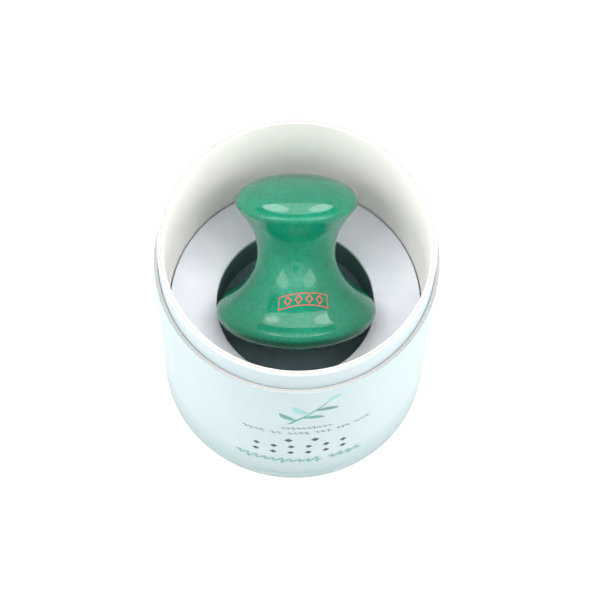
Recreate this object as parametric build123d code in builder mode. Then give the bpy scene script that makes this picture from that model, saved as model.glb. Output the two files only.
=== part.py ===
"""Mushroom-shaped jade massage stone in the foam nest of its open paper presentation tube.

Millimetres, +Z up. The origin is the centre of the tube's underside, where it stands on a table.
"""

from build123d import *
from math import cos, radians, sin
import os

# Presentation tube, from the outside in
TUBE_RADIUS = 33.0
TUBE_RIM_Z = 63.8
MOUTH_RADIUS = 32.05
MOUTH_DEPTH = 3.0
PAPER = 0.15
HEM_WIDTH = 5.0

# Neck: the inner tube that stands proud of the outer one
NECK_RADIUS = 31.87
NECK_RIM_Z = 72.2
NECK_BOARD = 0.8
NECK_CARD = 0.35
NECK_CARD_GAP = 0.2

# Base
BASE_BOARD = 1.5
LABEL_GAP = 0.1

# Foam insert
INSERT_RADIUS = 30.3
INSERT_TOP_Z = 36.8
TOP_SHEET = 1.2
POCKET_RADIUS = 19.0
POCKET_FLOOR_Z = 24.4
POCKET_EDGE_ROUNDING = 0.3
INSERT_EDGE_ROUNDING = 0.4

# Stone: a turned shape, leaning back in the pocket. Its outline is (radius, height along its axis).
STONE_CENTRE = (0.1, -4.2, 38.7)
STONE_TILT = 47.4
STONE_LEAN = -1.67
BASE_CAP_RADIUS = 19.15
BASE_CAP_Z = 1.3
BASE_DOME_Z = -5.1
BASE_DOME_SHOULDER = (16.0, -2.5)
FLARE_RIM = (15.5, 5.3)
FLARE_FOOT = (11.4, 9.8)
WAIST_RADIUS = 9.35
WAIST_Z = 16.9
FLARE_HEAD = (11.1, 23.5)
TOP_CAP_RADIUS = 14.35
TOP_CAP_Z = 28.9
TOP_DOME_SHOULDER = (11.3, 32.0)
TOP_DOME_Z = 33.9

neck_board_radius = NECK_RADIUS - NECK_CARD
liner_radius = neck_board_radius - NECK_BOARD
neck_bore_radius = liner_radius - PAPER
base_top_z = PAPER + BASE_BOARD
sheet_bottom_z = INSERT_TOP_Z - TOP_SHEET


def straight_tube(outer_radius, inner_radius, bottom_z, top_z):
    """A plain round tube of board or paper."""
    with BuildPart() as tube:
        with BuildSketch(Plane.XY.offset(bottom_z)):
            Circle(outer_radius)
            Circle(inner_radius, mode=Mode.SUBTRACT)
        extrude(amount=top_z - bottom_z)
    return tube


def flat_disc(radius, bottom_z, top_z):
    """A plain round disc of board, paper or foam."""
    with BuildPart() as disc:
        with BuildSketch(Plane.XY.offset(bottom_z)):
            Circle(radius)
        extrude(amount=top_z - bottom_z)
    return disc


# Outer tube: a board core, glued to the neck inside it, with its mouth relieved so that the edge
# of a lid doesn't scuff
with BuildPart() as outer_tube:
    with BuildSketch(Plane.XY.offset(PAPER)):
        Circle(TUBE_RADIUS - PAPER)
        Circle(neck_board_radius, mode=Mode.SUBTRACT)
    extrude(amount=TUBE_RIM_Z - PAPER)
    with BuildSketch(Plane.XY.offset(TUBE_RIM_Z)):
        Circle(MOUTH_RADIUS)
    extrude(amount=-MOUTH_DEPTH, mode=Mode.SUBTRACT)

# Printed paper is glued round the board and turns in under the tube's bottom edge as a narrow hem
with BuildPart() as outer_wrap:
    with BuildSketch(Plane.XY):
        Circle(TUBE_RADIUS)
        Circle(TUBE_RADIUS - PAPER, mode=Mode.SUBTRACT)
    extrude(amount=TUBE_RIM_Z)
    with BuildSketch(Plane.XY):
        Circle(TUBE_RADIUS)
        Circle(TUBE_RADIUS - HEM_WIDTH, mode=Mode.SUBTRACT)
    extrude(amount=PAPER)

# Base: a board disc inside the tube, and a paper label that fills the ring of the hem
base_disc = flat_disc(neck_board_radius, PAPER, base_top_z)
base_label = flat_disc(TUBE_RADIUS - HEM_WIDTH - LABEL_GAP, 0, PAPER)

# Neck: a full-length board tube on the base disc, lined with white paper, with a band of thin
# card round the part that shows
neck_tube = straight_tube(neck_board_radius, liner_radius, base_top_z, NECK_RIM_Z)
neck_liner = straight_tube(liner_radius, neck_bore_radius, base_top_z, NECK_RIM_Z)
neck_wrap = straight_tube(NECK_RADIUS, neck_board_radius, TUBE_RIM_Z + NECK_CARD_GAP, NECK_RIM_Z)

# Foam insert: a solid lower block, a ring that forms the pocket, and a pale facing sheet
insert_block = flat_disc(INSERT_RADIUS, base_top_z, POCKET_FLOOR_Z)
insert_ring = straight_tube(INSERT_RADIUS, POCKET_RADIUS, POCKET_FLOOR_Z, sheet_bottom_z)

with BuildPart() as insert_top_sheet:
    with BuildSketch(Plane.XY.offset(sheet_bottom_z)):
        Circle(INSERT_RADIUS)
        Circle(POCKET_RADIUS, mode=Mode.SUBTRACT)
    extrude(amount=TOP_SHEET)
    top_edges = insert_top_sheet.edges().group_by(Axis.Z)[-1].sort_by(SortBy.RADIUS)
    fillet(top_edges[0], radius=POCKET_EDGE_ROUNDING)
    outer_edge = insert_top_sheet.edges().group_by(Axis.Z)[-1].sort_by(SortBy.RADIUS)[-1]
    fillet(outer_edge, radius=INSERT_EDGE_ROUNDING)

# Stone: its axis tips back towards +Y and slightly towards -X. The outline runs from the middle of
# the big dome, round the wide cap, in to the waist, and out round the small cap.
tilt = radians(STONE_TILT)
lean = radians(STONE_LEAN)
stone_axis = Vector(sin(lean), cos(lean) * sin(tilt), cos(lean) * cos(tilt))
stone_front = Vector(0, -cos(tilt), sin(tilt))
stone_plane = Plane(origin=STONE_CENTRE, x_dir=stone_front, z_dir=stone_front.cross(stone_axis))

with BuildPart() as massage_stone:
    with BuildSketch(stone_plane):
        with BuildLine():
            Spline(
                (0, BASE_DOME_Z),
                BASE_DOME_SHOULDER,
                (BASE_CAP_RADIUS, BASE_CAP_Z),
                tangents=[(1, 0), (0, 1)],
            )
            Spline(
                (BASE_CAP_RADIUS, BASE_CAP_Z),
                FLARE_RIM,
                FLARE_FOOT,
                (WAIST_RADIUS, WAIST_Z),
                FLARE_HEAD,
                (TOP_CAP_RADIUS, TOP_CAP_Z),
                tangents=[(0, 1), (0, 1)],
            )
            Spline(
                (TOP_CAP_RADIUS, TOP_CAP_Z),
                TOP_DOME_SHOULDER,
                (0, TOP_DOME_Z),
                tangents=[(0, 1), (-1, 0)],
            )
            Line((0, TOP_DOME_Z), (0, BASE_DOME_Z))
        make_face()
    revolve(axis=Axis(STONE_CENTRE, stone_axis))

pieces = {
    "outer_tube": outer_tube,
    "outer_wrap": outer_wrap,
    "base_disc": base_disc,
    "base_label": base_label,
    "neck_tube": neck_tube,
    "neck_liner": neck_liner,
    "neck_wrap": neck_wrap,
    "insert_block": insert_block,
    "insert_ring": insert_ring,
    "insert_top_sheet": insert_top_sheet,
    "massage_stone": massage_stone,
}

os.makedirs("parts", exist_ok=True)
for name, piece in pieces.items():
    piece.part.label = name
    export_step(piece.part, f"parts/{name}.step")
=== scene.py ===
"""The look of a jade mushroom massage stone leaning in its open presentation tube.

Metres, in the part's own frame: +Z up, the origin in the middle of the tube's underside, and the
printed side facing -Y. Angles round the tube start at that side and grow towards +X.
"""

import bpy
import math
import numpy as np
from mathutils import Matrix, Vector, noise
from mathutils.bvhtree import BVHTree


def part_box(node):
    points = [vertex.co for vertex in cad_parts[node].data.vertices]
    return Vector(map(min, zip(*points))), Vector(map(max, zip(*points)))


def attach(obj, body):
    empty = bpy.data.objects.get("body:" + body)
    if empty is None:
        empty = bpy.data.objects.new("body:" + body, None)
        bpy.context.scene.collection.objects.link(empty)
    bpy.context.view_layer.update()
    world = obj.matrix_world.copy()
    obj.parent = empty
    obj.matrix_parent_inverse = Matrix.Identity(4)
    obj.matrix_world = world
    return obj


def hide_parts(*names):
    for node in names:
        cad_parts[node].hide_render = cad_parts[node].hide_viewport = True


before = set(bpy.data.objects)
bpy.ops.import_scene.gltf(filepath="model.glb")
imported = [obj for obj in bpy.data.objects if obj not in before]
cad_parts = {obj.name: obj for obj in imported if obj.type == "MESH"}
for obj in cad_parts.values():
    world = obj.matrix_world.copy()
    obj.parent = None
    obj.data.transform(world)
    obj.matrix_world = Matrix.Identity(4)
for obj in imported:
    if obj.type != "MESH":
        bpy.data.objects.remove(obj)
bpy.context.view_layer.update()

MM = 0.001

# Gauge of the papers, the height of a lap where a sheet's two ends overlap, and the angle over which
# the upper end thins out
PAPER = 0.15 * MM
CARD = 0.35 * MM
LAP_STEP = 0.12 * MM
CARD_LAP_STEP = 0.16 * MM
LAP_END = 0.012

# How far printed ink stands off its paper and the stone's seal off the stone
INK_LIFT = 0.03 * MM

TURN_SEGMENTS = 288


def node_high(node):
    """Highest corner of a CAD node's box."""
    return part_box(node)[1]


def node_low(node):
    """Lowest corner of a CAD node's box."""
    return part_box(node)[0]


def bore_radius(node):
    """Radius of the hole through a ring-shaped CAD node."""
    return min(math.hypot(v.co.x, v.co.y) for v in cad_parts[node].data.vertices)


TUBE_RADIUS = node_high("outer_wrap").x
TUBE_RIM = node_high("outer_wrap").z
NECK_RADIUS = node_high("neck_wrap").x
NECK_RIM = node_high("neck_wrap").z
NECK_BORE = bore_radius("neck_liner")
FLOOR_TOP = node_high("base_disc").z
SHEET_RADIUS = node_high("insert_top_sheet").x
SHEET_TOP = node_high("insert_top_sheet").z
SHEET_BOTTOM = node_low("insert_top_sheet").z
POCKET_RADIUS = bore_radius("insert_ring")
POCKET_FLOOR = node_low("insert_ring").z


# ---------------------------------------------------------------- meshes


def add_mesh(name, vertices, faces, smooth_angle=35):
    """A mesh object from faces wound outwards, smooth except across edges sharper than the angle."""
    mesh = bpy.data.meshes.new(name)
    mesh.from_pydata([tuple(v) for v in vertices], [], faces)
    mesh.validate()
    mesh.shade_smooth()
    if smooth_angle:
        mesh.set_sharp_from_angle(angle=math.radians(smooth_angle))
    piece = bpy.data.objects.new(name, mesh)
    bpy.context.scene.collection.objects.link(piece)
    return piece


def rounded(corners, steps=4):
    """Outline through (radius, z, rounding) corners, each corner turned into a small curve."""
    points = []
    count = len(corners)
    for i, (x, z, rounding) in enumerate(corners):
        here = Vector((x, z))
        if not rounding:
            points.append(here)
            continue
        before = Vector(corners[i - 1][:2]) - here
        after = Vector(corners[(i + 1) % count][:2]) - here
        start = here + before.normalized() * rounding
        end = here + after.normalized() * rounding
        for k in range(steps + 1):
            t = k / steps
            points.append(start * (1 - t) ** 2 + here * 2 * t * (1 - t) + end * t * t)
    return points


def split_long(points, longest):
    """The closed outline with extra points wherever two neighbours are far apart."""
    result = []
    for i, point in enumerate(points):
        following = points[(i + 1) % len(points)]
        pieces = max(1, math.ceil((following - point).length / longest))
        result += [point.lerp(following, k / pieces) for k in range(pieces)]
    return result


def lathe(name, outline, shape):
    """Turn a closed outline of (radius, z) points round Z; shape(angle, radius, z) moves each one."""
    vertices = []
    for i in range(TURN_SEGMENTS):
        angle = 2 * math.pi * i / TURN_SEGMENTS
        for point in outline:
            radius, z = shape(angle, *point)
            vertices.append((radius * math.sin(angle), -radius * math.cos(angle), z))
    count = len(outline)
    faces = []
    for i in range(TURN_SEGMENTS):
        here = i * count
        there = ((i + 1) % TURN_SEGMENTS) * count
        for j in range(count):
            k = (j + 1) % count
            faces.append((here + j, there + j, there + k, here + k))
    return add_mesh(name, vertices, faces)


def ring_faces(rings, around):
    """Faces over rings of points from a single top point to a single bottom point, wound outwards."""

    def point(ring, i):
        return 1 + ring * around + i % around

    faces = [(0, point(0, i), point(0, i + 1)) for i in range(around)]
    for ring in range(rings - 1):
        for i in range(around):
            left = (point(ring, i), point(ring + 1, i))
            right = (point(ring + 1, i + 1), point(ring, i + 1))
            faces.append(left + right)
    bottom = 1 + rings * around
    faces += [(bottom, point(rings - 1, i + 1), point(rings - 1, i)) for i in range(around)]
    return faces


def turned_over(faces):
    """The faces wound the other way, each from the same first corner."""
    return [face[:1] + face[:0:-1] for face in faces]


def lap(angle, centre, width):
    """How far a lapped sheet stands up: rises to 1 over the width, then drops at the sheet's end."""
    offset = (angle - centre + math.pi) % (2 * math.pi) - math.pi
    if offset > 0:
        return max(0.0, 1 - offset / LAP_END)
    return max(0.0, 1 + offset / width) ** 2


# ---------------------------------------------------------------- materials


class Shader:
    """Builds one material's node tree."""

    def __init__(self, name):
        self.material = bpy.data.materials.new(name)
        self.material.use_nodes = True
        self.tree = self.material.node_tree
        self.surface = self.tree.nodes["Principled BSDF"]
        self.place = self.add("ShaderNodeTexCoord").outputs["Object"]

    def add(self, kind, **settings):
        """A new node of the given kind."""
        node = self.tree.nodes.new(kind)
        for key, value in settings.items():
            setattr(node, key, value)
        return node

    def feed(self, socket, value):
        """Link an output to a socket, or set the socket to a plain value."""
        if isinstance(value, bpy.types.NodeSocket):
            self.tree.links.new(value, socket)
        else:
            socket.default_value = value

    def set(self, **inputs):
        """Feed the surface's inputs; an underscore in a name stands for a space."""
        for key, value in inputs.items():
            self.feed(self.surface.inputs[key.replace("_", " ")], value)

    def noise(self, per_metre, detail=4.0, rough=0.55, stretch=None, twist=0.0):
        """Cloudy noise, 0 to 1."""
        place = self.place
        if stretch:
            mapping = self.add("ShaderNodeMapping")
            self.feed(mapping.inputs["Vector"], place)
            mapping.inputs["Scale"].default_value = stretch
            place = mapping.outputs["Vector"]
        node = self.add("ShaderNodeTexNoise")
        self.feed(node.inputs["Vector"], place)
        node.inputs["Scale"].default_value = per_metre
        node.inputs["Detail"].default_value = detail
        node.inputs["Roughness"].default_value = rough
        node.inputs["Distortion"].default_value = twist
        return node.outputs["Fac"]

    def cells(self, per_metre):
        """Distance to the nearest of many scattered points."""
        node = self.add("ShaderNodeTexVoronoi")
        self.feed(node.inputs["Vector"], self.place)
        node.inputs["Scale"].default_value = per_metre
        return node.outputs["Distance"]

    def ramp(self, value, *stops):
        """Colour ramp through (position, linear rgb) stops."""
        node = self.add("ShaderNodeValToRGB")
        self.feed(node.inputs["Fac"], value)
        elements = node.color_ramp.elements
        while len(elements) < len(stops):
            elements.new(0.5)
        for element, (position, colour) in zip(elements, stops):
            element.position = position
            element.color = (*colour, 1.0)
        return node.outputs["Color"]

    def levels(self, value, low, high, out_low=0.0, out_high=1.0):
        """The value moved from the range low to high into the range out_low to out_high."""
        node = self.add("ShaderNodeMapRange")
        self.feed(node.inputs["Value"], value)
        node.inputs["From Min"].default_value = low
        node.inputs["From Max"].default_value = high
        node.inputs["To Min"].default_value = out_low
        node.inputs["To Max"].default_value = out_high
        return node.outputs["Result"]

    def mix(self, amount, first, second, blend="MIX"):
        """Two colours blended by the amount."""
        node = self.add("ShaderNodeMix", data_type="RGBA", blend_type=blend)
        self.feed(node.inputs[0], amount)
        self.feed(node.inputs[6], first)
        self.feed(node.inputs[7], second)
        return node.outputs[2]

    def sum(self, first, second, share):
        """The first value plus a share of the second."""
        node = self.add("ShaderNodeMath", operation="MULTIPLY_ADD")
        self.feed(node.inputs[0], second)
        node.inputs[1].default_value = share
        self.feed(node.inputs[2], first)
        return node.outputs["Value"]

    def bump(self, height, depth, strength):
        """Fine relief, depth deep where the height runs from 0 to 1."""
        node = self.add("ShaderNodeBump")
        node.inputs["Strength"].default_value = strength
        node.inputs["Distance"].default_value = depth
        self.feed(node.inputs["Height"], height)
        self.set(Normal=node.outputs["Normal"])


def linear(red, green, blue):
    """Linear colour from the 0-255 values of a paint swatch."""
    swatch = []
    for value in (red, green, blue):
        share = value / 255
        swatch.append(share / 12.92 if share <= 0.04045 else ((share + 0.055) / 1.055) ** 2.4)
    return tuple(swatch)


def full(colour):
    """The colour with full opacity."""
    return (*colour, 1.0)


def scaled(colour, share):
    """The colour times the share."""
    return tuple(value * share for value in colour)


def paint(piece, material):
    """Give the piece one material."""
    piece.data.materials.clear()
    piece.data.materials.append(material)


JADE_DEEP = (0.003, 0.164, 0.086)
JADE_MIDDLE = (0.004, 0.206, 0.112)
JADE_LIGHT = (0.007, 0.256, 0.146)
JADE_WISP = (0.018, 0.275, 0.165)
JADE_GRAIN = (0.002, 0.120, 0.064)
JADE_SPECK = (0.003, 0.060, 0.036)

# Painted shade darkens the broad face between these distances below the big cap's rim, by this much
BROAD_FACE_START = 0.3 * MM
BROAD_FACE_FULL = 1.5 * MM
BROAD_FACE_PAINTED_SHADE = (0.5, 0.42, 0.42)


def jade(axis, rim_height):
    """Polished green stone: cloudy, finely grained, a few dark specks; painted shade on the broad face.

    axis points from the broad face to the small cap; rim_height is the big cap's rim along it.
    """
    shader = Shader("polished_jade")
    cloud = shader.noise(85, detail=5, rough=0.6, twist=0.5)
    base = shader.ramp(cloud, (0.30, JADE_DEEP), (0.50, JADE_MIDDLE), (0.72, JADE_LIGHT))
    wisp = shader.levels(shader.noise(300, detail=5, rough=0.65, twist=0.8), 0.56, 0.80, 0.0, 0.45)
    base = shader.mix(wisp, base, full(JADE_WISP))
    grain = shader.levels(shader.noise(1400, detail=3, rough=0.7), 0.40, 0.64, 0.0, 0.58)
    base = shader.mix(grain, base, full(JADE_GRAIN))
    speck = shader.levels(shader.cells(330), 0.085, 0.055, 0.0, 0.8)
    base = shader.mix(speck, base, full(JADE_SPECK))
    # Painted shade on the broad face below the big cap's rim: a darker colour and less shine there
    along = shader.add("ShaderNodeVectorMath", operation="DOT_PRODUCT")
    shader.feed(along.inputs[0], shader.place)
    along.inputs[1].default_value = axis
    start = rim_height - BROAD_FACE_START
    broad = shader.levels(along.outputs["Value"], start, rim_height - BROAD_FACE_FULL)
    shaded = shader.mix(1.0, base, full(BROAD_FACE_PAINTED_SHADE), "MULTIPLY")
    base = shader.mix(broad, base, shaded)
    shader.set(
        Base_Color=base,
        Roughness=shader.levels(shader.noise(900, detail=3), 0.3, 0.7, 0.05, 0.10),
        IOR=1.56,
        Specular_IOR_Level=shader.levels(broad, 0.0, 1.0, 0.5, 0.12),
        Subsurface_Weight=0.12,
        Subsurface_Radius=(0.25, 1.0, 0.6),
        Subsurface_Scale=1.2 * MM,
    )
    shader.bump(shader.noise(260, detail=2), 0.02 * MM, 0.35)
    return shader.material


# Painted shade darkens paper towards the table between these heights, and gives it this tint
TABLE_SHADE_TOP = 18 * MM
TABLE_SHADE_BOTTOM = -2 * MM
TABLE_SHADE_TINT = (0.80, 1.0, 0.98)


def paper(name, colour, roughness, fibre=0.010, gloss=0.0, table_shade=1.0):
    """Paper with fine fibres, in mm of relief, and faint mottling.

    gloss coats it; the last argument, below 1, paints shade onto it towards the table.
    """
    shader = Shader(name)
    fibres = shader.noise(2600, detail=4, rough=0.7)
    mottle = shader.noise(90, detail=3)
    tint = shader.ramp(mottle, (0.35, scaled(colour, 0.97)), (0.65, colour))
    specks = shader.levels(fibres, 0.62, 0.80)
    tint = shader.mix(specks, tint, full(scaled(colour, 0.93)))
    # Painted shade: the paper turns darker and more teal towards the table
    if table_shade < 1:
        split = shader.add("ShaderNodeSeparateXYZ")
        shader.feed(split.inputs["Vector"], shader.place)
        low = shader.levels(split.outputs["Z"], TABLE_SHADE_TOP, TABLE_SHADE_BOTTOM)
        shade = full(scaled(TABLE_SHADE_TINT, table_shade))
        tint = shader.mix(low, tint, shader.mix(1.0, tint, shade, "MULTIPLY"))
    shader.set(
        Base_Color=tint,
        Roughness=shader.levels(fibres, 0.3, 0.7, roughness - 0.06, roughness + 0.06),
        Coat_Weight=gloss,
        Coat_Roughness=0.18,
    )
    shader.bump(fibres, fibre * MM, 0.6)
    return shader.material


def board():
    """Cut white-lined board: layered fibres along the edge."""
    shader = Shader("white_board")
    fibres = shader.noise(1800, detail=5, rough=0.75, stretch=(1.0, 1.0, 0.35))
    tint = shader.ramp(fibres, (0.30, linear(168, 166, 163)), (0.62, linear(185, 183, 180)))
    shader.set(Base_Color=tint, Roughness=0.82)
    shader.bump(fibres, 0.03 * MM, 0.7)
    return shader.material


def foam(name, dark, light, cell=2200, depth=0.05, sheen=0.1, cut=None):
    """Closed-cell foam: a fine cell pattern over slow mottling.

    cell is the number of cells in a metre and depth their depth in mm; cut paints shade, tinted green as
    by light bounced off the stone, onto the pocket's wall.
    """
    shader = Shader(name)
    cells = shader.cells(cell)
    grain = shader.noise(3200, detail=3, rough=0.7)
    height = shader.sum(cells, grain, 0.7)
    slow = shader.noise(120, detail=4)
    tint = shader.ramp(slow, (0.35, dark), (0.65, light))
    pits = shader.levels(grain, 0.35, 0.20)
    tint = shader.mix(pits, tint, full(scaled(dark, 0.72)))
    # Painted shade on the pocket's wall, tinted green as by light bounced off the stone
    if cut:
        flat = shader.add("ShaderNodeVectorMath", operation="MULTIPLY")
        shader.feed(flat.inputs[0], shader.place)
        flat.inputs[1].default_value = (1.0, 1.0, 0.0)
        reach = shader.add("ShaderNodeVectorMath", operation="LENGTH")
        shader.feed(reach.inputs[0], flat.outputs["Vector"])
        wall = shader.levels(reach.outputs["Value"], POCKET_RADIUS + 0.8 * MM, POCKET_RADIUS + 0.3 * MM)
        tint = shader.mix(wall, tint, shader.mix(1.0, tint, full(cut), "MULTIPLY"))
    shader.set(Base_Color=tint, Roughness=0.92, Sheen_Weight=sheen, Sheen_Roughness=0.6)
    shader.bump(height, depth * MM, 0.55)
    return shader.material


def ink(name, colour, roughness=0.45):
    """Printed ink, slightly uneven where the paper's fibres take less of it."""
    shader = Shader(name)
    grain = shader.noise(3000, detail=3)
    thin = tuple(value * 0.92 + 0.03 for value in colour)
    shader.set(
        Base_Color=shader.ramp(grain, (0.35, colour), (0.85, thin)),
        Roughness=roughness,
    )
    shader.bump(grain, 0.004 * MM, 0.4)
    return shader.material


MINT = linear(165, 187, 190)
IVORY = linear(240, 235, 231)
BOARD = board()
# The printed wrap carries painted shade towards the table
WRAP_PAPER = paper("mint_print_paper", MINT, 0.40, gloss=0.9, table_shade=0.61)
CARD_PAPER = paper("mint_neck_card", linear(181, 197, 201), 0.45, gloss=0.4)
LINER_PAPER = paper("ivory_liner_paper", IVORY, 0.66)
LABEL_PAPER = paper("base_label_paper", linear(238, 241, 239), 0.75, 0.02)
PALE_FOAM = foam("lavender_foam", linear(217, 220, 230), linear(227, 229, 236))
SLATE = (linear(124, 147, 156), linear(130, 153, 162))
DARK_FOAM = foam("slate_foam", *SLATE, 1500, 0.12, 0.05)
# The ring's foam carries painted shade, tinted green, on the pocket's wall
RING_FOAM = foam("slate_foam_ring", *SLATE, 1500, 0.12, 0.05, cut=(0.60, 0.86, 0.76))


# ---------------------------------------------------------------- tube

WRAP_LAP_AT = math.radians(172)
CARD_LAP_AT = math.radians(166)
LINER_LAP_AT = math.radians(150)
LAP_WIDTH = 0.20
CARD_LAP_WIDTH = 0.45

# Between the base label and the hem round it
HEM_GAP = 0.1 * MM

# The neck card's foot, tucked into the mouth of the tube
FOOT_SWELL = 0.14 * MM
FOOT_DEPTH = 2.0 * MM
FOOT_TOP = 0.35 * MM
FOOT_END = 0.25 * MM

# A faint crease pressed round part of the lining, below the rim
CREASE_AT = math.radians(142)
CREASE_REACH = 0.33
CREASE_BELOW_RIM = 2.6 * MM
CREASE_HALF_WIDTH = 0.22 * MM
CREASE_DEPTH = 0.06 * MM


def build_tube_wrap():
    """Printed paper round the outer tube, lapped at the back and hemmed in under the base."""
    hem = node_high("base_label").x + HEM_GAP
    inner = TUBE_RADIUS - PAPER
    outline = rounded(
        [
            (hem, 0, 0),
            (TUBE_RADIUS, 0, 0.25 * MM),
            (TUBE_RADIUS, TUBE_RIM, 0.08 * MM),
            (inner, TUBE_RIM, 0),
            (inner, PAPER, 0),
            (hem, PAPER, 0),
        ]
    )
    outline = split_long(outline, 4 * MM)

    def shape(angle, radius, z):
        if radius > inner + 0.5 * PAPER:
            radius += LAP_STEP * lap(angle, WRAP_LAP_AT, LAP_WIDTH)
        return radius, z

    piece = lathe("tube_wrap", outline, shape)
    paint(piece, WRAP_PAPER)
    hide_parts("outer_wrap")
    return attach(piece, "tube")


def build_neck_card():
    """Thin card band round the part of the neck that shows; its tucked-in foot fills the mouth."""
    inner = NECK_RADIUS - CARD
    foot = NECK_RADIUS + FOOT_SWELL
    outline = rounded(
        [
            (inner, TUBE_RIM - FOOT_DEPTH, 0),
            (foot, TUBE_RIM - FOOT_DEPTH, 0),
            (foot, TUBE_RIM - FOOT_TOP, 0),
            (NECK_RADIUS, TUBE_RIM - FOOT_END, 0),
            (NECK_RADIUS, NECK_RIM, 0.15 * MM),
            (inner, NECK_RIM, 0),
        ]
    )

    def shape(angle, radius, z):
        if inner + 0.4 * CARD < radius < NECK_RADIUS + 0.5 * FOOT_SWELL:
            radius += CARD_LAP_STEP * lap(angle, CARD_LAP_AT, CARD_LAP_WIDTH)
        return radius, z

    piece = lathe("neck_card", split_long(outline, 3 * MM), shape)
    paint(piece, CARD_PAPER)
    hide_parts("neck_wrap")
    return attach(piece, "tube")


def build_neck_lining():
    """Ivory paper down the inside of the neck, with a lap and a faint crease below the rim."""
    outer = NECK_BORE + PAPER
    outline = rounded(
        [
            (NECK_BORE, FLOOR_TOP, 0),
            (outer, FLOOR_TOP, 0),
            (outer, NECK_RIM, 0),
            (NECK_BORE, NECK_RIM, 0.10 * MM),
        ]
    )
    crease_z = NECK_RIM - CREASE_BELOW_RIM

    def shape(angle, radius, z):
        if radius < NECK_BORE + 0.4 * PAPER:
            radius -= 0.7 * LAP_STEP * lap(angle, LINER_LAP_AT, LAP_WIDTH)
            round_wall = math.exp(-(((angle - CREASE_AT) / CREASE_REACH) ** 2))
            radius -= CREASE_DEPTH * round_wall * math.exp(-(((z - crease_z) / CREASE_HALF_WIDTH) ** 2))
        return radius, z

    piece = lathe("neck_lining", split_long(outline, 0.4 * MM), shape)
    paint(piece, LINER_PAPER)
    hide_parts("neck_liner")
    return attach(piece, "tube")


# ---------------------------------------------------------------- print on the tube

PALE_INK = ink("pale_teal_ink", linear(146, 196, 195))
TEAL_INK = ink("teal_ink", linear(76, 152, 143))
DEEP_INK = ink("deep_teal_ink", linear(84, 138, 133))
GREY_INK = ink("grey_ink", linear(26, 36, 42))
SOFT_INK = ink("soft_teal_ink", linear(104, 160, 156))

# Steps along a leaf or the stem, and along each wave of a flourish
LEAF_STEPS = 40
FLOURISH_STEPS = 22


def on_tube(along, up):
    """Point on the printed surface: along runs round the wall to the right, up from the table, in mm."""
    radius = TUBE_RADIUS + INK_LIFT
    angle = along * MM / TUBE_RADIUS
    return Vector((radius * math.sin(angle), -radius * math.cos(angle), up * MM))


def print_patch(name, vertices, faces, material):
    """Ink that lies on the tube's paper."""
    piece = add_mesh(name, vertices, faces, 0)
    paint(piece, material)
    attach(piece, "tube")


def print_strip(name, edges, material):
    """Strip of ink between pairs of points (along, up) on the tube."""
    vertices = []
    for first, second in edges:
        vertices += [on_tube(*first), on_tube(*second)]
    faces = []
    for i in range(len(edges) - 1):
        faces.append((2 * i, 2 * i + 1, 2 * i + 3, 2 * i + 2))
    print_patch(name, vertices, faces, material)


def print_line(name, curve, width, material, steps):
    """Line of ink along curve(share), which gives (along, up); width may swell with the share."""
    near = 0.002
    edges = []
    for i in range(steps + 1):
        share = i / steps
        here = Vector(curve(share))
        ahead = Vector(curve(share + near)) - Vector(curve(share - near))
        half = 0.5 * width(share) if callable(width) else 0.5 * width
        aside = Vector((-ahead.y, ahead.x)).normalized() * half
        edges.append((tuple(here + aside), tuple(here - aside)))
    print_strip(name, edges, material)


def print_leaf(name, start, end, belly, width, material):
    """Leaf of ink from start to end, its middle pushed aside by belly."""
    start = Vector(start)
    end = Vector(end)
    aside = Vector((start.y - end.y, end.x - start.x)).normalized()

    def curve(share):
        return start.lerp(end, share) + aside * belly * math.sin(math.pi * share)

    def swell(share):
        return width * max(0.0, math.sin(math.pi * share)) ** 0.7

    print_line(name, curve, swell, material, LEAF_STEPS)


def print_marks(name, row, up, size, material):
    """Row of small lozenges at the given places along the wall."""
    vertices = []
    faces = []
    for along in row:
        first = len(vertices)
        for right, rise in ((-0.5, 0), (0, -0.5), (0.5, 0), (0, 0.5)):
            vertices.append(on_tube(along + right * size, up + rise * 1.25 * size))
        faces.append((first, first + 1, first + 2, first + 3))
    print_patch(name, vertices, faces, material)


def flourish(left, right, up, height, wave):
    """Wavy line like a few joined strokes of a pen, between two places along the wall."""
    waves = max(1, round((right - left) / wave))

    def curve(share):
        turn = 2 * math.pi * waves * share
        tall = 1.0 + 0.8 * max(0.0, math.sin(2.6 * turn / waves + left)) ** 3
        slant = 0.25 * height * math.sin(turn)
        return left + (right - left) * share + slant, up + 0.5 * height * tall * math.sin(turn)

    return curve


def print_words(name, words, up, height, wave, width, material):
    """Row of separate flourishes, one for each (left, right) pair."""
    for number, (left, right) in enumerate(words, 1):
        steps = int(FLOURISH_STEPS * (right - left) / wave)
        curve = flourish(left, right, up, height, wave)
        print_line(f"{name}_{number}", curve, width, material, steps)


# Name, foot, tip, belly, width and ink of each leaf; places and sizes are in mm
LEAVES = [
    ("low_left", (1.3, 44.8), (-2.9, 49.6), 0.5, 1.9, TEAL_INK),
    ("low_right", (2.6, 46.6), (7.8, 46.2), 0.5, 1.9, TEAL_INK),
    ("mid_left", (4.0, 48.9), (0.2, 54.4), 0.5, 2.0, PALE_INK),
    ("mid_right", (5.4, 51.2), (11.0, 50.8), 0.5, 2.0, DEEP_INK),
    ("tip", (8.3, 56.0), (11.6, 59.6), 0.3, 1.7, PALE_INK),
]


def print_sprig():
    """Twig with five leaves."""

    def stem(share):
        return -0.6 + 9.0 * share, 42.6 + 13.6 * share - 1.8 * share * (1 - share)

    def stem_width(share):
        return 0.7 - 0.4 * share

    print_line("print_sprig_stem", stem, stem_width, TEAL_INK, LEAF_STEPS)
    for name, foot, tip, belly, width, material in LEAVES:
        print_leaf(f"print_leaf_{name}", foot, tip, belly, width, material)


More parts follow.
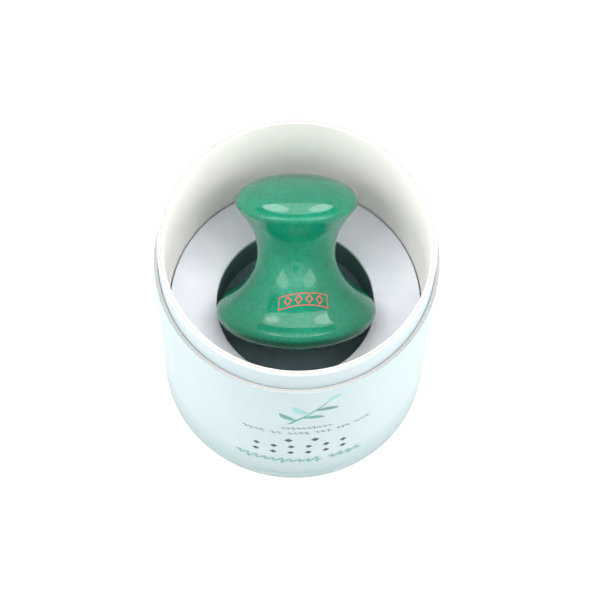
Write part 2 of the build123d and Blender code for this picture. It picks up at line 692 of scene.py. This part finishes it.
def print_tube():
    """Generic ornament in place of the maker's print: a sprig, flourishes and rows of lozenges."""
    fine = {"wave": 1.3, "width": 0.15, "material": GREY_INK}
    wide = {"wave": 2.2, "width": 0.55, "material": SOFT_INK}
    words = [(-11.8, -6.4), (-5.2, -2.2), (-1.0, 4.4), (5.6, 9.6), (10.8, 14.2), (15.2, 19.6)]
    print_sprig()
    print_words("print_upper_line", [(-2.6, 9.8)], up=39.2, height=1.0, **fine)
    print_words("print_lower_line", words, up=35.6, height=1.1, **fine)
    print_marks("print_marks_upper", (-0.6, 5.8), 30.2, 2.1, GREY_INK)
    print_marks("print_marks_middle", [-8.4 + 4.25 * i for i in range(6)], 25.4, 1.8, GREY_INK)
    print_marks("print_marks_lower", [-8.6 + 4.3 * i for i in range(6)], 20.9, 1.8, GREY_INK)
    print_words("print_wide_line", [(-13.8, 7.6), (9.4, 17.8)], up=14.6, height=2.0, **wide)
    print_marks("print_dots_base", [-9.0 + 0.95 * i for i in range(24)], 4.4, 0.5, SOFT_INK)


# ---------------------------------------------------------------- foam insert

# Facing sheet: how far the pressed edge of the hole reaches and sinks, and the waves of its top
HOLE_EDGE = 1.2 * MM
HOLE_PRESSED = 0.10 * MM
SHEET_WAVE = 6 * MM
SHEET_UNEVEN = 0.05 * MM

# How far the cut wall of the pocket bows away from the stone
WALL_BOW = 0.12 * MM

# Lower block: the rounding of its edges and the unevenness of its top
BLOCK_EDGE = 0.5 * MM
BLOCK_WAVE = 2.5 * MM
BLOCK_UNEVEN = 0.04 * MM


def ripple(angle, scale, seed, size):
    """Slow uneven wave round a cut edge."""
    place = Vector((math.sin(angle) * scale, math.cos(angle) * scale, seed))
    return size * noise.noise(place)


def build_foam_sheet():
    """Pale facing sheet: knife-cut hole, edges pressed down a little, faintly uneven top."""
    outline = rounded(
        [
            (POCKET_RADIUS, SHEET_BOTTOM, 0),
            (SHEET_RADIUS, SHEET_BOTTOM, 0),
            (SHEET_RADIUS, SHEET_TOP, 0.45 * MM),
            (POCKET_RADIUS, SHEET_TOP, 0.30 * MM),
        ],
        steps=6,
    )

    def shape(angle, radius, z):
        near_hole = math.exp(-(((radius - POCKET_RADIUS) / HOLE_EDGE) ** 2))
        radius += near_hole * ripple(angle, 3.0, 4.2, 0.08 * MM)
        if z > SHEET_BOTTOM + 0.5 * MM:
            place = Vector((math.sin(angle), math.cos(angle), 0)) * radius / SHEET_WAVE
            z += SHEET_UNEVEN * (noise.noise(place) - 1)
            z -= HOLE_PRESSED * near_hole
        return radius, z

    piece = lathe("foam_facing_sheet", split_long(outline, 0.5 * MM), shape)
    paint(piece, PALE_FOAM)
    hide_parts("insert_top_sheet")
    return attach(piece, "insert")


def build_foam_ring():
    """Dark foam round the pocket; its cut wall bows out slightly and carries faint cutter marks."""
    outline = rounded(
        [
            (POCKET_RADIUS, POCKET_FLOOR, 0),
            (SHEET_RADIUS, POCKET_FLOOR, 0.2 * MM),
            (SHEET_RADIUS, SHEET_BOTTOM, 0.2 * MM),
            (POCKET_RADIUS, SHEET_BOTTOM, 0.15 * MM),
        ]
    )
    height = SHEET_BOTTOM - POCKET_FLOOR

    def shape(angle, radius, z):
        if radius < POCKET_RADIUS + 0.5 * MM:
            bow = math.sin(math.pi * (z - POCKET_FLOOR) / height)
            radius += WALL_BOW * bow
            radius += ripple(angle, 14.0, z / (3 * MM), 0.06 * MM)
        return radius, z

    piece = lathe("foam_pocket_ring", split_long(outline, 0.7 * MM), shape)
    paint(piece, RING_FOAM)
    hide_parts("insert_ring")
    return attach(piece, "insert")


def build_foam_block():
    """Dark foam under the pocket, its top very slightly uneven from the knife."""
    top_rings = 60
    side_rings = 12
    top = POCKET_FLOOR
    bottom = FLOOR_TOP
    edge = BLOCK_EDGE
    levels = [(SHEET_RADIUS * (i + 1) / top_rings, top) for i in range(top_rings - 1)]
    levels += [(SHEET_RADIUS - 0.15 * edge, top - 0.05 * edge), (SHEET_RADIUS, top - edge)]
    levels += [(SHEET_RADIUS, top - (top - bottom) * k / side_rings) for k in range(1, side_rings)]
    levels += [(SHEET_RADIUS, bottom + edge), (SHEET_RADIUS - edge, bottom)]
    vertices = [(0, 0, top - BLOCK_UNEVEN)]
    for radius, z in levels:
        for i in range(TURN_SEGMENTS):
            angle = 2 * math.pi * i / TURN_SEGMENTS
            x = radius * math.sin(angle)
            y = -radius * math.cos(angle)
            drop = 0.0
            if z > top - 0.5 * edge and radius < SHEET_RADIUS - edge:
                drop = BLOCK_UNEVEN * (1 - noise.noise(Vector((x, y, 0)) / BLOCK_WAVE))
            vertices.append((x, y, z - drop))
    vertices.append((0, 0, bottom))
    piece = add_mesh("foam_lower_block", vertices, ring_faces(len(levels), TURN_SEGMENTS))
    paint(piece, DARK_FOAM)
    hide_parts("insert_block")
    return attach(piece, "insert")


# ---------------------------------------------------------------- stone

# The stone's axis leans back from upright towards +Y, and a little towards -X
STONE_TILT = math.radians(47.4)
STONE_LEAN = math.radians(-1.67)
STONE_SHIFT = Vector((0.2 * MM, 0, 0))

# Rim radius, rim height, dome height and fullness (2 is an ellipse) of the two caps, and the
# (radius, height) points between them, in mm. Heights run along the axis from the stone's low end.
BIG_CAP = (19.09, 6.60, -7.59, 1.91)
SMALL_CAP = (14.43, 33.87, 4.93, 2.19)
STEM = [(18.36, 8.20), (15.35, 10.60), (11.22, 15.10), (9.27, 22.23), (11.05, 28.47), (13.82, 32.57)]

# How much less full the small cap's dome is towards the front
FRONT_HOLLOW = 0.42

STONE_SEGMENTS = 256
STEM_STEPS = 130
DOME_STEPS = 48
STONE_UNEVEN = 0.02 * MM
STONE_WAVE = 9 * MM


def cap_dome(rim_radius, rim_z, height, fullness):
    """Quarter of a superellipse, from the cap's rim to the middle of its dome."""
    points = []
    for i in range(1, DOME_STEPS + 1):
        angle = math.pi / 2 * i / DOME_STEPS
        across = math.cos(angle) ** (2 / fullness) if i < DOME_STEPS else 0.0
        points.append((rim_radius * across, rim_z + height * math.sin(angle) ** (2 / fullness)))
    return points


def smooth_radii(knots, steps):
    """Cubic spline of radius against height through the knots, parallel to the axis at both ends."""
    radii, heights = np.array(knots).T
    gaps = np.diff(heights)
    slopes = np.diff(radii) / gaps
    count = len(knots)
    system = np.zeros((count, count))
    right = np.zeros(count)
    system[0, :2] = 2 * gaps[0], gaps[0]
    system[-1, -2:] = gaps[-1], 2 * gaps[-1]
    right[0] = 6 * slopes[0]
    right[-1] = -6 * slopes[-1]
    for i in range(1, count - 1):
        system[i, i - 1 : i + 2] = gaps[i - 1], 2 * (gaps[i - 1] + gaps[i]), gaps[i]
        right[i] = 6 * (slopes[i] - slopes[i - 1])
    bend = np.linalg.solve(system, right)
    points = []
    for k in range(steps + 1):
        share = 0.5 - 0.5 * math.cos(math.pi * k / steps)
        z = heights[0] + share * (heights[-1] - heights[0])
        i = min(int(np.searchsorted(heights, z, "right")) - 1, count - 2)
        low = z - heights[i]
        high = heights[i + 1] - z
        radius = (bend[i] * high**3 + bend[i + 1] * low**3) / (6 * gaps[i])
        radius += (radii[i] / gaps[i] - bend[i] * gaps[i] / 6) * high
        radius += (radii[i + 1] / gaps[i] - bend[i + 1] * gaps[i] / 6) * low
        points.append((radius, z))
    return points


def stone_axes():
    """The stone's axis, a direction across it, a third at right angles, and its lowest axis point."""
    up = Vector(
        (
            math.sin(STONE_LEAN),
            math.cos(STONE_LEAN) * math.sin(STONE_TILT),
            math.cos(STONE_LEAN) * math.cos(STONE_TILT),
        )
    )
    front = Vector((0, -math.cos(STONE_TILT), math.sin(STONE_TILT)))
    front = (front - up * front.dot(up)).normalized()
    side = up.cross(front)
    corners = np.array([v.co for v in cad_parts["massage_stone"].data.vertices])
    middle = Vector((0, 0, 0))
    for direction in (front, side):
        reach = corners @ np.array(direction)
        middle += direction * (reach.min() + reach.max()) / 2
    middle += up * (corners @ np.array(up)).min()
    return up, front, side, middle + STONE_SHIFT


def small_dome_height(radius, angle):
    """Height of the small cap's dome, which is less full where the angle faces the front."""
    rim_radius, rim_z, height, fullness = SMALL_CAP
    softer = fullness - FRONT_HOLLOW * max(0.0, math.cos(angle)) ** 2
    share = max(0.0, 1 - (radius / rim_radius) ** softer)
    return rim_z + height * share ** (1 / softer)


def build_stone():
    """Polished stone, turned about its own leaning axis, with a hand-finished trace of unevenness."""
    up, front, side, bottom = stone_axes()
    big = list(reversed(cap_dome(*BIG_CAP)))
    stem = smooth_radii([BIG_CAP[:2], *STEM, SMALL_CAP[:2]], STEM_STEPS)
    outline = big + stem + cap_dome(*SMALL_CAP)
    outline = outline[1:-1]
    vertices = [bottom + up * (BIG_CAP[1] + BIG_CAP[2]) * MM]
    for radius, z in outline:
        for i in range(STONE_SEGMENTS):
            angle = 2 * math.pi * i / STONE_SEGMENTS
            away = side * math.sin(angle) + front * math.cos(angle)
            height = small_dome_height(radius, angle) if z > SMALL_CAP[1] else z
            place = bottom + (away * radius + up * height) * MM
            vertices.append(place + away * STONE_UNEVEN * noise.noise(place / STONE_WAVE))
    vertices.append(bottom + up * (SMALL_CAP[1] + SMALL_CAP[2]) * MM)
    faces = turned_over(ring_faces(len(outline), STONE_SEGMENTS))
    piece = add_mesh("jade_stone", vertices, faces, 0)
    paint(piece, jade(up, bottom.dot(up) + BIG_CAP[1] * MM))
    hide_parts("massage_stone")
    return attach(piece, "stone")


# ---------------------------------------------------------------- seal on the stone

SEAL_INK = ink("red_seal_ink", linear(206, 66, 58), 0.35)

# Place round the stem and height along the axis, half its width and height, and how far its ends
# bend down, in mm
SEAL_CENTRE = (2.0, 13.85)
SEAL_HALF = (6.1, 1.15)
SEAL_ARCH = 1.15
SEAL_BORDER = 0.17

# Ink follows the stone in steps of this length, found by looking in from this far off the axis
SEAL_STEP = 0.4
SEAL_LOOK = 40

# A row of hollow lozenges inside the border
LOZENGES = 4
LOZENGE_HALF = 0.8
LOZENGE_STEP = 2.6
LOZENGE_LINE = 0.24


def on_stone(across, rise, skin, axes):
    """Point on the stone's skin, in mm sideways and upwards from the middle of the seal."""
    up, front, side, bottom = axes
    height = SEAL_CENTRE[1] + rise - SEAL_ARCH * (across / SEAL_HALF[0]) ** 2
    knots = [BIG_CAP[:2], *STEM]
    radius = float(np.interp(height, [k[1] for k in knots], [k[0] for k in knots]))
    angle = (SEAL_CENTRE[0] + across) / radius
    away = side * math.sin(angle) + front * math.cos(angle)
    start = bottom + (up * height + away * SEAL_LOOK) * MM
    place, normal, _, _ = skin.ray_cast(start, -away)
    return place + normal * INK_LIFT


def seal_line(corners, width, vertices, faces, skin, axes):
    """Adds a ribbon of ink through (across, rise) corners on the stone."""
    for start, end in zip(corners, corners[1:]):
        start = Vector(start)
        end = Vector(end)
        run = (end - start).normalized()
        aside = Vector((-run.y, run.x)) * width / 2
        steps = max(2, int((end - start).length / SEAL_STEP))
        first = len(vertices)
        for i in range(steps + 1):
            here = (start - run * width / 2).lerp(end + run * width / 2, i / steps)
            vertices.append(on_stone(*(here - aside), skin, axes))
            vertices.append(on_stone(*(here + aside), skin, axes))
        for i in range(steps):
            k = first + 2 * i
            faces.append((k, k + 2, k + 3, k + 1))


def build_seal(stone):
    """Small red cartouche with a row of lozenges, in place of the maker's stamped name."""
    axes = stone_axes()
    skin = BVHTree.FromPolygons(
        [v.co.copy() for v in stone.data.vertices],
        [tuple(p.vertices) for p in stone.data.polygons],
    )
    vertices = []
    faces = []
    half, high = SEAL_HALF
    border = [(-half, -high), (half, -high), (half, high), (-half, high), (-half, -high)]
    seal_line(border, SEAL_BORDER, vertices, faces, skin, axes)
    for i in range(LOZENGES):
        middle = LOZENGE_STEP * (i - (LOZENGES - 1) / 2)
        left = (middle - LOZENGE_HALF, 0)
        right = (middle + LOZENGE_HALF, 0)
        lozenge = [left, (middle, -LOZENGE_HALF), right, (middle, LOZENGE_HALF), left]
        seal_line(lozenge, LOZENGE_LINE, vertices, faces, skin, axes)
    piece = add_mesh("stone_seal", vertices, faces, 0)
    paint(piece, SEAL_INK)
    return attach(piece, "stone")


# ---------------------------------------------------------------- studio

CAMERA_PLACE = Vector((0, -200.5, 538.0)) * MM
CAMERA_DOWN = math.radians(68.14)
CAMERA_TURN = math.radians(0.115)
CAMERA_ROLL = math.radians(1.83)
CAMERA_LENS = 134.1
SENSOR_WIDTH = 36
NEAREST_SEEN = 0.01
FARTHEST_SEEN = 20

SUBJECT = Vector((0, 0, 55 * MM))
LIGHT_DISTANCE = 0.6

# Name, azimuth and elevation in degrees, width and height in metres, radiance, how far the light is
# slid along its own width, and whether it is seen in mirrored light, in matt light or in both
LIGHTS = [
    ("side_left", -62, 43, 0.30, 0.56, 2.0, 0.0, "both"),
    ("side_right", 62, 43, 0.30, 0.56, 1.9, 0.0, "both"),
    ("wall_left", -95, 42, 0.50, 0.50, 1.3, 0.0, "lit"),
    ("wall_right", 95, 42, 0.50, 0.50, 1.4, 0.0, "lit"),
    ("low_left", -100, 5, 0.50, 0.26, 4.4, 0.0, "lit"),
    ("low_right", 100, 5, 0.50, 0.26, 4.8, 0.0, "lit"),
    ("front_left", -66, 58, 0.30, 0.30, 3.5, 0.0, "lit"),
    ("front_right", 66, 58, 0.30, 0.30, 4.1, 0.0, "lit"),
    ("front_sky", 0, 62, 0.50, 0.42, 0.6, 0.0, "mirrored"),
    ("back_middle", 180, 33, 0.74, 0.50, 2.2, 0.0, "mirrored"),
    ("back_left", 180, 30, 0.26, 0.30, 3.0, 0.20, "mirrored"),
    ("back_right", 180, 30, 0.26, 0.30, 2.8, -0.20, "mirrored"),
    ("back_fill", 180, 71, 0.42, 0.30, 3.1, 0.0, "lit"),
]

# Brightness of the room: low down in front, low down at the sides, overhead, and what is left of it
# behind. A dark patch lies in the given direction.
FRONT_LIGHT = 0.46
SIDE_LIGHT = 1.60
HIGH_LIGHT = 1.35
BEHIND_SHARE = 0.22
PATCH_SHARE = 0.35
PATCH_DIRECTION = (0.0, -0.731, 0.682)
ROOM_COLOUR = (0.98, 0.99, 1.0)

# The table's own glow towards the camera, and the share of it that mirrored light sees
TABLE_GLOW = 0.70
MIRRORED_GLOW = 0.3
TABLE_HALF = 3.0


def add_camera():
    """Long lens looking steeply down at the tube's printed side."""
    camera = bpy.data.cameras.new("photo_camera")
    camera.lens = CAMERA_LENS
    camera.sensor_width = SENSOR_WIDTH
    camera.clip_start = NEAREST_SEEN
    camera.clip_end = FARTHEST_SEEN
    holder = bpy.data.objects.new("photo_camera", camera)
    pitch = Matrix.Rotation(math.pi / 2 - CAMERA_DOWN, 4, "X")
    turn = Matrix.Rotation(-CAMERA_TURN, 4, "Y")
    roll = Matrix.Rotation(CAMERA_ROLL, 4, "Z")
    holder.matrix_world = Matrix.Translation(CAMERA_PLACE) @ pitch @ turn @ roll
    bpy.context.scene.collection.objects.link(holder)
    bpy.context.scene.camera = holder


def add_softbox(name, azimuth, elevation, width, height, radiance, aside, shows):
    """Oval light facing the subject. Azimuth 0 is the printed side, 90 is +X."""
    light = bpy.data.lights.new(name, "AREA")
    light.shape = "ELLIPSE"
    light.size = width
    light.size_y = height
    light.energy = radiance * math.pi * math.pi / 4 * width * height
    holder = bpy.data.objects.new(name, light)
    around = math.radians(azimuth)
    up = math.radians(elevation)
    away = Vector((math.sin(around) * math.cos(up), -math.cos(around) * math.cos(up), math.sin(up)))
    across = Vector((math.cos(around), math.sin(around), 0))
    holder.location = SUBJECT + away * LIGHT_DISTANCE + across * aside
    holder.rotation_euler = away.to_track_quat("Z", "Y").to_euler()
    holder.visible_glossy = shows != "lit"
    holder.visible_diffuse = shows != "mirrored"
    bpy.context.scene.collection.objects.link(holder)


def add_table():
    """Pale table that glows white towards the camera, and a little in mirrored light."""
    half = TABLE_HALF
    corners = [(-half, -half, 0), (half, -half, 0), (half, half, 0), (-half, half, 0)]
    table = add_mesh("studio_table", corners, [(0, 1, 2, 3)], 0)
    shader = Shader("table_surface")
    fine = shader.noise(500, detail=3)
    path = shader.add("ShaderNodeLightPath")
    seen = shader.sum(path.outputs["Is Camera Ray"], path.outputs["Is Glossy Ray"], MIRRORED_GLOW)
    shader.set(
        Base_Color=shader.ramp(fine, (0.3, linear(192, 194, 194)), (0.7, linear(198, 200, 200))),
        Roughness=0.9,
        Emission_Color=full((1, 1, 1)),
        Emission_Strength=shader.levels(seen, 0.0, 1.0, 0.0, TABLE_GLOW),
    )
    paint(table, shader.material)


def add_surroundings():
    """White room: bright overhead and at the sides, dimmer in front and behind, with a dark patch."""
    world = bpy.data.worlds.new("studio_world")
    world.use_nodes = True
    tree = world.node_tree

    def spread(value, start, end, low, high):
        node = tree.nodes.new("ShaderNodeMapRange")
        node.interpolation_type = "SMOOTHSTEP"
        tree.links.new(value, node.inputs["Value"])
        for key, setting in (("From Min", start), ("From Max", end), ("To Min", low), ("To Max", high)):
            node.inputs[key].default_value = setting
        return node.outputs["Result"]

    def times(first, second):
        node = tree.nodes.new("ShaderNodeMath")
        node.operation = "MULTIPLY"
        tree.links.new(first, node.inputs[0])
        tree.links.new(second, node.inputs[1])
        return node.outputs["Value"]

    place = tree.nodes.new("ShaderNodeTexCoord").outputs["Generated"]
    split = tree.nodes.new("ShaderNodeSeparateXYZ")
    tree.links.new(place, split.inputs["Vector"])
    towards = tree.nodes.new("ShaderNodeVectorMath")
    towards.operation = "DOT_PRODUCT"
    tree.links.new(place, towards.inputs[0])
    towards.inputs[1].default_value = PATCH_DIRECTION
    across = times(split.outputs["X"], split.outputs["X"])
    low = spread(across, 0.15, 0.80, FRONT_LIGHT, SIDE_LIGHT)
    blend = tree.nodes.new("ShaderNodeMix")
    tree.links.new(spread(split.outputs["Z"], 0.15, 0.60, 0.0, 1.0), blend.inputs[0])
    tree.links.new(low, blend.inputs[2])
    blend.inputs[3].default_value = HIGH_LIGHT
    behind = spread(split.outputs["Y"], 0.00, 0.35, 1.0, BEHIND_SHARE)
    patch = spread(towards.outputs["Value"], 0.982, 0.990, 1.0, PATCH_SHARE)
    background = tree.nodes["Background"]
    background.inputs["Color"].default_value = full(ROOM_COLOUR)
    tree.links.new(times(times(blend.outputs[0], behind), patch), background.inputs["Strength"])
    bpy.context.scene.world = world


def add_studio():
    """Table, room and lights: softboxes at the sides and in front, and a bright bank behind."""
    add_table()
    add_surroundings()
    for light in LIGHTS:
        add_softbox(*light)
    bpy.context.scene.view_settings.view_transform = "Standard"


# ---------------------------------------------------------------- assembly

for name in ("outer_tube", "neck_tube", "base_disc"):
    paint(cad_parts[name], BOARD)
paint(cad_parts["base_label"], LABEL_PAPER)
build_tube_wrap()
build_neck_card()
build_neck_lining()
build_foam_sheet()
build_foam_ring()
build_foam_block()
build_seal(build_stone())
print_tube()
add_camera()
add_studio()
